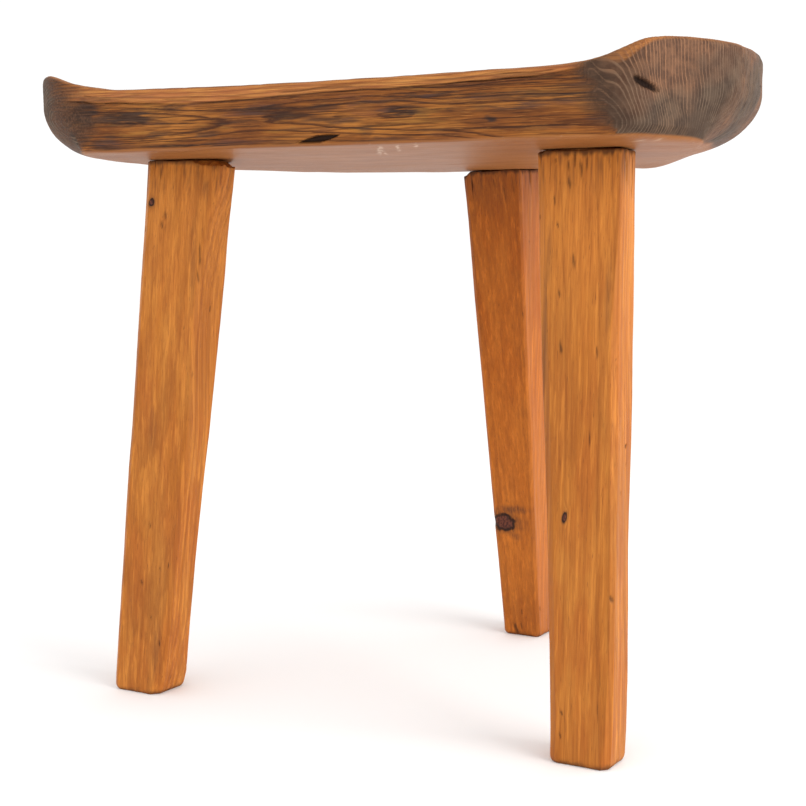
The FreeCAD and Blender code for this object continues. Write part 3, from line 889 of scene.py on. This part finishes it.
class Nodes:
    def __init__(self, name):
        self.mat = bpy.data.materials.new(name)
        self.mat.use_nodes = True
        self.t = self.mat.node_tree
        self.t.nodes.clear()
        self.out = self.t.nodes.new("ShaderNodeOutputMaterial")
        self.bsdf = self.t.nodes.new("ShaderNodeBsdfPrincipled")
        self.t.links.new(self.bsdf.outputs[0], self.out.inputs[0])

    def put(self, socket, value):
        if isinstance(value, bpy.types.NodeSocket):
            self.t.links.new(value, socket)
        elif isinstance(value, (tuple, list)):
            value = list(value)
            if len(value) == 3 and socket.type == "RGBA":
                value = value + [1.0]
            socket.default_value = value
        else:
            socket.default_value = value

    def math(self, op, a, b=None, c=None, clamp=False):
        n = self.t.nodes.new("ShaderNodeMath")
        n.operation = op
        n.use_clamp = clamp
        for i, v in enumerate((a, b, c)):
            if v is not None:
                self.put(n.inputs[i], v)
        return n.outputs[0]

    def field(self, name):
        n = self.t.nodes.new("ShaderNodeAttribute")
        n.attribute_name = name
        return n.outputs["Fac"]

    def position(self, scale):
        c = self.t.nodes.new("ShaderNodeTexCoord")
        n = self.t.nodes.new("ShaderNodeVectorMath")
        n.operation = "MULTIPLY"
        self.t.links.new(c.outputs["Object"], n.inputs[0])
        n.inputs[1].default_value = [s * 1000.0 for s in scale]
        return n.outputs[0]

    def noise(self, scale, detail=3.0, rough=0.55, distort=0.0, offset=(0, 0, 0)):
        v = self.position(scale)
        if any(offset):
            a = self.t.nodes.new("ShaderNodeVectorMath")
            a.operation = "ADD"
            self.t.links.new(v, a.inputs[0])
            a.inputs[1].default_value = offset
            v = a.outputs[0]
        n = self.t.nodes.new("ShaderNodeTexNoise")
        self.t.links.new(v, n.inputs["Vector"])
        n.inputs["Scale"].default_value = 1.0
        n.inputs["Detail"].default_value = detail
        n.inputs["Roughness"].default_value = rough
        n.inputs["Distortion"].default_value = distort
        return n.outputs[0]

    def remap(self, v, a, b, lo=0.0, hi=1.0, smoothstep=True):
        n = self.t.nodes.new("ShaderNodeMapRange")
        n.interpolation_type = "SMOOTHSTEP" if smoothstep else "LINEAR"
        self.put(n.inputs["Value"], v)
        for k, val in (("From Min", a), ("From Max", b), ("To Min", lo), ("To Max", hi)):
            self.put(n.inputs[k], val)
        return n.outputs[0]

    def mix(self, fac, a, b, blend="MIX"):
        n = self.t.nodes.new("ShaderNodeMix")
        n.data_type = "RGBA"
        n.blend_type = blend
        n.clamp_factor = True
        self.put(n.inputs[0], fac)
        self.put(n.inputs[6], a)
        self.put(n.inputs[7], b)
        return n.outputs[2]

    def ramp(self, fac, stops):
        n = self.t.nodes.new("ShaderNodeValToRGB")
        r = n.color_ramp
        while len(r.elements) > 1:
            r.elements.remove(r.elements[-1])
        r.elements[0].position = stops[0][0]
        r.elements[0].color = (*stops[0][1], 1)
        for pos, col in stops[1:]:
            e = r.elements.new(pos)
            e.color = (*col, 1)
        self.put(n.inputs[0], fac)
        return n.outputs[0]

    def white(self, v):
        n = self.t.nodes.new("ShaderNodeTexWhiteNoise")
        n.noise_dimensions = "1D"
        self.put(n.inputs["W"], v)
        return n.outputs["Value"]

    def bump(self, height, strength, distance, normal=None):
        n = self.t.nodes.new("ShaderNodeBump")
        n.inputs["Strength"].default_value = strength
        n.inputs["Distance"].default_value = distance
        self.put(n.inputs["Height"], height)
        if normal is not None:
            self.put(n.inputs["Normal"], normal)
        return n.outputs[0]

    def rings(self, ring, late_a=0.35, late_b=0.85):
        """The dark line of each year from the ring count, and that year's own strength."""
        m = self.math
        f = m("FRACT", ring)
        rise = self.remap(f, late_a, late_b)
        fall = self.remap(f, 0.90, 1.0, 1.0, 0.0)
        year = self.white(m("FLOOR", ring))
        return m("MULTIPLY", rise, fall), year


# ------------------------------------------------------------------ materials


def seat_material():
    g = Nodes("seat_old_pine")
    m = g.math
    endg, stain, crack_shade_and_dark_marks = g.field("endg"), g.field("stain"), g.field("crack_shade_and_dark_marks")
    under, topm, front = g.field("under"), g.field("topm"), g.field("front")
    grey, upper_strip_highlight, grime, rim_highlight, seam, scratch_and_arris_highlight = (g.field(k) for k in ("grey", "upper_strip_highlight", "grime", "rim_highlight", "seam", "scratch_and_arris_highlight"))
    wob = g.noise((0.04, 0.6, 0.6), 4, 0.6)
    ring = m("ADD", g.field("ring"), m("MULTIPLY", m("SUBTRACT", wob, 0.5), 0.40))
    late, year = g.rings(ring, 0.50, 0.85)
    late = m("MULTIPLY", late, g.remap(year, 0.0, 1.0, 0.35, 1.0))
    fibre = g.noise((0.035, 1.3, 1.3), 4, 0.62)
    fibre2 = g.noise((0.10, 3.4, 3.4), 3, 0.6)
    blotch = g.noise((0.018, 0.09, 0.09), 3, 0.55)
    tint = g.noise((0.03, 0.22, 0.22), 3, 0.6, offset=(8, 2, 4))
    thread = g.remap(g.noise((0.016, 1.0, 1.0), 3, 0.7, offset=(3.1, 0, 0)), 0.545, 0.600)

    # long grain, worn and oiled
    base = g.ramp(blotch, [(0.32, (0.140, 0.042, 0.010)), (0.5, (0.262, 0.084, 0.015)), (0.70, (0.41, 0.152, 0.028))])
    base = g.mix(g.remap(tint, 0.57, 0.72, 0.0, 0.50), base, (0.15, 0.052, 0.030))
    base = g.mix(g.remap(tint, 0.44, 0.30, 0.0, 0.45), base, (0.30, 0.150, 0.030))
    base = g.mix(g.remap(fibre, 0.42, 0.62, 0.0, 0.66), base, (0.105, 0.032, 0.010))
    base = g.mix(m("MULTIPLY", late, 0.88), base, (0.050, 0.015, 0.006))
    base = g.mix(m("MULTIPLY", thread, 0.75), base, (0.026, 0.009, 0.005))
    base = g.mix(g.remap(fibre2, 0.55, 0.72, 0.0, 0.40), base, (0.52, 0.215, 0.052))
    # the strip over the shake, painted lighter as a highlight where it leans back to the light from above; and the top
    upper_strip_highlight_c = g.mix(g.remap(fibre, 0.32, 0.68), (0.58, 0.245, 0.062), (0.290, 0.090, 0.024))
    upper_strip_highlight_c = g.mix(g.remap(tint, 0.42, 0.62, 0.0, 0.55), upper_strip_highlight_c, (0.43, 0.140, 0.048))
    upper_strip_highlight_c = g.mix(m("MULTIPLY", late, 0.45), upper_strip_highlight_c, (0.12, 0.036, 0.014))
    base = g.mix(m("MULTIPLY", upper_strip_highlight, 0.88), base, upper_strip_highlight_c)
    topc = g.mix(g.remap(blotch, 0.3, 0.7), (0.27, 0.095, 0.026), (0.39, 0.160, 0.045))
    topc = g.mix(m("MULTIPLY", late, 0.72), topc, (0.085, 0.028, 0.011))
    topc = g.mix(m("MULTIPLY", thread, 0.40), topc, (0.060, 0.021, 0.010))
    topc = g.mix(g.remap(fibre, 0.4, 0.75, 0.0, 0.4), topc, (0.15, 0.055, 0.020))
    base = g.mix(topm, base, topc)
    # blue stain and ground-in dirt
    dirtc = g.mix(g.remap(fibre, 0.30, 0.65), (0.060, 0.034, 0.024), (0.016, 0.009, 0.008))
    dirtc = g.mix(g.remap(tint, 0.52, 0.66, 0.0, 0.6), dirtc, (0.066, 0.038, 0.036))
    smear = m("MULTIPLY", stain, g.remap(g.noise((0.05, 0.9, 0.9), 4, 0.62, offset=(0, 9, 0)), 0.36, 0.52, 0.22, 1.0))
    base = g.mix(m("MULTIPLY", smear, 0.95), base, dirtc)
    speck = g.noise((0.9, 0.9, 0.9), 3, 0.6)
    grimec = g.mix(g.remap(speck, 0.4, 0.65), (0.048, 0.025, 0.015), (0.112, 0.054, 0.030))
    base = g.mix(m("MULTIPLY", grime, g.remap(fibre, 0.25, 0.7, 1.0, 0.62)), base, grimec)
    # washed grey end grain with its hard rings standing up
    endc = g.mix(g.remap(grey, -0.25, 0.35), (0.158, 0.094, 0.056), (0.235, 0.112, 0.057))
    cloud = g.noise((0.03, 0.03, 0.03), 3, 0.5, offset=(5, 5, 1))
    endc = g.mix(g.remap(cloud, 0.46, 0.62, 0.0, 0.65), endc, (0.115, 0.082, 0.056))
    endd = g.mix(g.remap(grey, -0.25, 0.35), (0.044, 0.026, 0.017), (0.078, 0.037, 0.021))
    shade = g.remap(g.noise((0.16, 0.16, 0.16), 3, 0.6, offset=(1, 7, 3)), 0.35, 0.65, 0.55, 1.0)
    endc = g.mix(m("MULTIPLY", g.remap(late, 0.75, 0.05), shade), endc, endd)
    endc = g.mix(g.remap(speck, 0.55, 0.75, 0.0, 0.28), endc, (0.060, 0.036, 0.026))
    base = g.mix(g.remap(endg, 0.1, 0.8), base, endc)
    base = g.mix(m("MULTIPLY", seam, g.remap(fibre2, 0.3, 0.7, 0.35, 0.85)), base, (0.045, 0.026, 0.017))
    # painted highlight along the top edge of the ends
    rim_highlight_c = g.mix(g.remap(fibre, 0.3, 0.7), (0.46, 0.180, 0.044), (0.20, 0.066, 0.022))
    rim_highlight_c = g.mix(m("MULTIPLY", late, 0.6), rim_highlight_c, (0.11, 0.040, 0.016))
    base = g.mix(m("MULTIPLY", rim_highlight, g.remap(cloud, 0.35, 0.6, 0.9, 0.5)), base, rim_highlight_c)
    # planed underside, paler and clean
    underc = g.mix(g.remap(blotch, 0.3, 0.7), (0.275, 0.100, 0.028), (0.340, 0.132, 0.039))
    underc = g.mix(m("MULTIPLY", late, 0.30), underc, (0.18, 0.062, 0.019))
    underc = g.mix(g.remap(fibre, 0.4, 0.75, 0.0, 0.42), underc, (0.20, 0.074, 0.026))
    underc = g.mix(g.remap(g.noise((0.5, 0.5, 0.5), 3, 0.6), 0.70, 0.74, 0.0, 0.6), underc, (0.62, 0.50, 0.38))
    # pale scratches, and the painted arris highlight at the right front corner
    underc = g.mix(m("MULTIPLY", scratch_and_arris_highlight, 0.55), underc, (0.70, 0.52, 0.38))
    base = g.mix(g.remap(under, 0.15, 0.85), base, underc)
    # painted shade in the cracks and pockets, and the dark joint line round the bores
    base = g.mix(m("MULTIPLY", crack_shade_and_dark_marks, 0.95), base, (0.012, 0.005, 0.003))
    g.put(g.bsdf.inputs["Base Color"], base)
    rough = g.remap(fibre, 0.2, 0.8, 0.40, 0.56)
    rough = m("ADD", rough, m("MULTIPLY", endg, 0.10))
    rough = m("SUBTRACT", rough, m("MULTIPLY", under, 0.06))
    rough = m("ADD", rough, m("MULTIPLY", m("MAXIMUM", stain, crack_shade_and_dark_marks), 0.12), clamp=True)
    g.put(g.bsdf.inputs["Roughness"], rough)
    g.bsdf.inputs["Specular IOR Level"].default_value = 0.12
    height = m("ADD", m("MULTIPLY", late, 0.5), m("MULTIPLY", fibre, 0.6))
    height = m("ADD", height, m("MULTIPLY", fibre2, 0.25))
    g.put(g.bsdf.inputs["Normal"], g.bump(height, 0.6, 0.00035))
    return g.mat


def leg_material(name, seed, light):
    g = Nodes(name)
    m = g.math
    crack_shade_and_dark_marks, foot_dark_shoulder_shade, knot = g.field("crack_shade_and_dark_marks"), g.field("foot_dark_shoulder_shade"), g.field("knot")
    blotch, tenon = g.field("blotch"), g.field("tenon")
    smoke, arris, painted_light_lift = g.field("smoke"), g.field("arris"), g.field("painted_light_lift")
    off = (seed * 3.7, seed * 1.9, seed * 0.7)
    wob = g.noise((0.45, 0.45, 0.022), 3, 0.55, offset=off)
    ring = m("ADD", g.field("ring"), m("MULTIPLY", m("SUBTRACT", wob, 0.5), 0.7))
    late, year = g.rings(ring, 0.25, 0.85)
    late = m("MULTIPLY", late, g.remap(year, 0.0, 1.0, 0.05, 1.0))
    fibre = g.noise((1.5, 1.5, 0.026), 4, 0.62, offset=off)
    fibre2 = g.noise((3.6, 3.6, 0.09), 3, 0.6, offset=off)
    pore = g.remap(g.noise((2.2, 2.2, 0.13), 2, 0.5, offset=(off[1], off[0], 2.0)), 0.64, 0.74)
    soft = g.noise((0.10, 0.10, 0.008), 3, 0.6, offset=off)
    patch = g.noise((0.07, 0.07, 0.020), 3, 0.6, offset=(off[2], off[1], off[0]))
    a, b, c = light
    base = g.mix(g.remap(soft, 0.34, 0.66), a, b)
    base = g.mix(g.remap(patch, 0.40, 0.68, 0.0, 0.8), base, c)
    base = g.mix(g.remap(blotch, -0.10, 0.50, 0.0, 0.35), base, (0.34, 0.115, 0.022))
    # painted light, lifting the tone where the seat's shade lies
    base = g.mix(m("MULTIPLY", painted_light_lift, 0.42), base, tuple(1.35 * v for v in b))
    streak = g.noise((0.50, 0.50, 0.0085), 3, 0.62, offset=(off[1], off[2], off[0]))
    base = g.mix(g.remap(streak, 0.53, 0.62, 0.0, 0.40), base, tuple(1.45 * v for v in b))
    base = g.mix(g.remap(streak, 0.46, 0.37, 0.0, 0.34), base, (0.250, 0.066, 0.011))
    base = g.mix(g.remap(fibre, 0.38, 0.72, 0.0, 0.34), base, (0.250, 0.066, 0.011))
    base = g.mix(m("MULTIPLY", late, 0.34), base, (0.200, 0.050, 0.008))
    base = g.mix(g.remap(fibre2, 0.56, 0.78, 0.0, 0.34), base, (0.56, 0.225, 0.050))
    base = g.mix(m("MULTIPLY", pore, 0.50), base, (0.12, 0.033, 0.010))
    # painted shade on the left front bevel
    base = g.mix(m("MULTIPLY", arris, 0.38), base, (0.17, 0.050, 0.016))
    # knots: red heart, black bark line, grey smoky halo
    halo = g.remap(knot, 0.9, 1.9, 0.62, 0.0)
    base = g.mix(m("MULTIPLY", halo, g.remap(fibre, 0.25, 0.6, 0.45, 1.0)), base, (0.085, 0.034, 0.016))
    base = g.mix(m("MULTIPLY", smoke, g.remap(fibre, 0.3, 0.65, 0.55, 1.0)), base, (0.075, 0.030, 0.018))
    heart = g.mix(g.remap(g.noise((0.8, 0.8, 0.5), 3, 0.6), 0.4, 0.6), (0.150, 0.046, 0.026), (0.060, 0.022, 0.016))
    base = g.mix(g.remap(knot, 0.78, 0.95, 1.0, 0.0), base, heart)
    ringk = m("MULTIPLY", g.remap(knot, 0.62, 0.82), g.remap(knot, 0.95, 1.12, 1.0, 0.0))
    base = g.mix(m("MULTIPLY", ringk, g.remap(fibre, 0.2, 0.6, 0.35, 0.95)), base, (0.014, 0.008, 0.007))
    # tenon end grain in the seat's top; painted shade in a band under the shoulder, and a darker foot
    ends = g.mix(g.remap(late, 0.1, 0.8), (0.27, 0.115, 0.045), (0.11, 0.045, 0.020))
    base = g.mix(tenon, base, ends)
    base = g.mix(m("MULTIPLY", foot_dark_shoulder_shade, 0.80), base, (0.045, 0.020, 0.011))
    # painted shade in the checks, nicks and knot cracks, and the dark marks
    base = g.mix(m("MULTIPLY", crack_shade_and_dark_marks, 0.88), base, (0.030, 0.012, 0.006))
    g.put(g.bsdf.inputs["Base Color"], base)
    rough = g.remap(fibre, 0.2, 0.8, 0.38, 0.52)
    rough = m("ADD", rough, m("MULTIPLY", foot_dark_shoulder_shade, 0.25), clamp=True)
    g.put(g.bsdf.inputs["Roughness"], rough)
    g.bsdf.inputs["Specular IOR Level"].default_value = 0.12
    height = m("ADD", m("MULTIPLY", late, 0.4), m("MULTIPLY", fibre, 0.6))
    height = m("ADD", height, m("MULTIPLY", fibre2, 0.3))
    height = m("SUBTRACT", height, m("MULTIPLY", pore, 0.5))
    g.put(g.bsdf.inputs["Normal"], g.bump(height, 0.5, 0.00025))
    return g.mat


def wedge_material():
    g = Nodes("wedge_hardwood")
    m = g.math
    fibre = g.noise((1.1, 1.1, 0.05), 4, 0.6)
    base = g.mix(g.remap(fibre, 0.3, 0.7), (0.42, 0.215, 0.090), (0.24, 0.105, 0.042))
    pore = g.remap(g.noise((3.0, 3.0, 3.0), 2, 0.5), 0.58, 0.68)
    base = g.mix(m("MULTIPLY", pore, 0.6), base, (0.10, 0.045, 0.020))
    g.put(g.bsdf.inputs["Base Color"], base)
    g.put(g.bsdf.inputs["Roughness"], g.remap(fibre, 0.2, 0.8, 0.42, 0.6))
    g.put(g.bsdf.inputs["Normal"], g.bump(m("ADD", fibre, m("MULTIPLY", pore, -0.5)), 0.5, 0.0002))
    return g.mat


def dress(obj, mat, node):
    obj.data.materials.clear()
    obj.data.materials.append(mat)
    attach(obj, "root")
    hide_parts(node)


# ------------------------------------------------------------------ build

seat = build_seat()
detail_seat(seat)
dress(seat, seat_material(), "seat")

TONES = {
    "leg_front_left": ((0.430, 0.138, 0.019), (0.51, 0.188, 0.032), (0.42, 0.122, 0.020)),
    "leg_front_right": ((0.410, 0.130, 0.018), (0.49, 0.180, 0.031), (0.40, 0.114, 0.018)),
    "leg_rear": ((0.380, 0.104, 0.012), (0.45, 0.134, 0.017), (0.36, 0.090, 0.010)),
}
WEDGES = {
    "leg_front_left": "wedge_front_left",
    "leg_front_right": "wedge_front_right",
    "leg_rear": "wedge_rear",
}
wedge_mat = wedge_material()
for i, name in enumerate(LEG):
    leg = build_leg(name, name + "_shaved")
    detail_leg(leg, name, 200 + 50 * i)
    dress(leg, leg_material(name + "_pine", i + 1, TONES[name]), name)
    wedge = wedge_form(WEDGES[name] + "_driven", name, 0.0, 0.0)
    q = coords(wedge)
    nn = normals(wedge)
    bumpy = 0.12 * perlin(q[:, 0] / 1.5, q[:, 1] / 1.5, q[:, 2] / 1.5, 400 + i) * smooth(q[:, 2], 330, 333)
    set_coords(wedge, q + nn * bumpy[:, None])
    finish_shading(wedge, 40.0)
    dress(wedge, wedge_mat, WEDGES[name])

# ------------------------------------------------------------------ stage


def make_floor():
    n = 96
    t = np.linspace(0, 2 * np.pi, n, endpoint=False)
    ring = np.c_[np.cos(t), np.sin(t)]
    verts = [np.c_[ring * r, np.full(n, 0.0)] for r in (60000.0, 3000.0, 600.0)]
    verts = np.concatenate(verts + [np.array([[0.0, 0, 0]])])
    j = np.arange(n)
    jn = (j + 1) % n
    quads = np.concatenate([np.stack([k * n + j, k * n + jn, (k + 1) * n + jn, (k + 1) * n + j], 1) for k in (0, 1)])
    tris = np.stack([2 * n + j, 2 * n + jn, np.full(n, 3 * n)], 1)
    floor = mesh_from("floor", verts, [quads, tris])
    g = Nodes("floor_pale")
    g.bsdf.inputs["Base Color"].default_value = (0.97, 0.97, 0.97, 1)
    g.bsdf.inputs["Roughness"].default_value = 0.9
    g.bsdf.inputs["Specular IOR Level"].default_value = 0.1
    floor.data.materials.append(g.mat)


make_floor()

world = bpy.data.worlds.new("studio")
scene.world = world
world.use_nodes = True
wn = world.node_tree.nodes["Background"]
wn.inputs[0].default_value = (1.0, 1.0, 1.0, 1.0)
wn.inputs[1].default_value = 1.06


def area(name, place, aim, size, power, colour=(1, 1, 1)):
    light = bpy.data.lights.new(name, "AREA")
    light.shape = "RECTANGLE"
    light.size, light.size_y = size
    light.energy = power
    light.color = colour
    o = bpy.data.objects.new(name, light)
    scene.collection.objects.link(o)
    o.location = place
    o.rotation_euler = (Vector(aim) - Vector(place)).to_track_quat("-Z", "Y").to_euler()


area("key_right", (1.7, -0.3, 0.75), (0.0, 0.0, 0.2), (1.3, 1.1), 24.0, (1.0, 0.99, 0.97))
area("fill_front", (-0.5, -2.2, 1.1), (0.0, 0.0, 0.2), (1.8, 1.2), 3.0)

# ------------------------------------------------------------------ camera

cam_data = bpy.data.cameras.new("camera")
cam_data.sensor_width = 36.0
cam_data.sensor_fit = "HORIZONTAL"
cam_data.lens = 1542.19 * 36.0 / 806.0
cam_data.clip_end = 200.0
cam = bpy.data.objects.new("camera", cam_data)
scene.collection.objects.link(cam)
az, pitch, roll = math.radians(29.3159), math.radians(5.6867), math.radians(0.3625)
look = Vector((-math.sin(az) * math.cos(pitch), math.cos(az) * math.cos(pitch), -math.sin(pitch)))
right = Vector((math.cos(az), math.sin(az), 0.0))
up = right.cross(look)
r2 = right * math.cos(roll) + up * math.sin(roll)
u2 = up * math.cos(roll) - right * math.sin(roll)
cam.matrix_world = Matrix((
    (r2.x, u2.x, -look.x, 0.41589),
    (r2.y, u2.y, -look.y, -0.79133),
    (r2.z, u2.z, -look.z, 0.25084),
    (0, 0, 0, 1),
))
scene.camera = cam
scene.view_settings.view_transform = "Standard"
scene.view_settings.look = "None"
